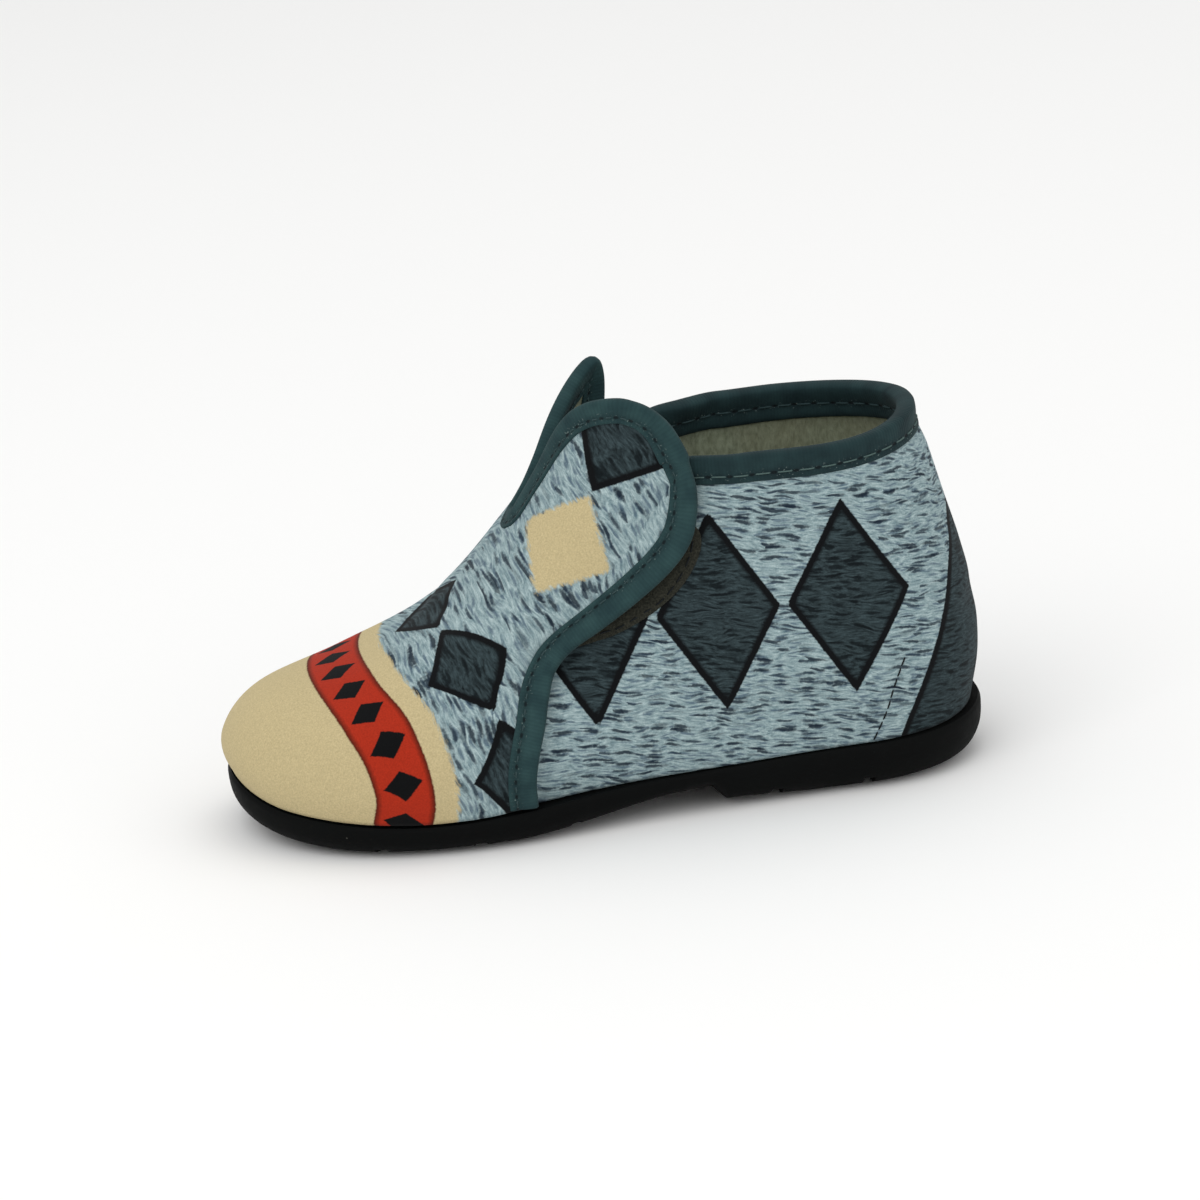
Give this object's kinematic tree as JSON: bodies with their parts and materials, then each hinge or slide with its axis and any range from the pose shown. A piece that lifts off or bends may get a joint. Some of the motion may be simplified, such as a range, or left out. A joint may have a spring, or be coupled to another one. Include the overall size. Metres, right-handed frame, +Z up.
{
  "type": "child's house bootie",
  "caption": "Child's left textile ankle bootie: moulded dark sole, taped collar, and a vamp with rounded side flaps that close over the quarter with hook-and-loop.",
  "frame": {"origin": "middle of the shoe's box in plan, on the floor under the tread", "axes": "+X from the toe to the heel, +Y to the medial side, +Z up"},
  "size_m": [0.1594, 0.0688, 0.0887],
  "materials": {
    "sole": "matte moulded",
    "footbed": "brushed fleece",
    "quarter_textile": "printed plain weave",
    "vamp_textile": "printed plain weave",
    "binding_tape": "fine ribbed tape",
    "loop_pile": "short loop pile"
  },
  "bodies": {
    "root": {"outsole": "sole", "insole": "footbed", "upper": "quarter_textile", "vamp": "vamp_textile", "collar_binding": "binding_tape", "vamp_binding": "binding_tape", "loop_patch": "loop_pile"}
  },
  "joints": []
}
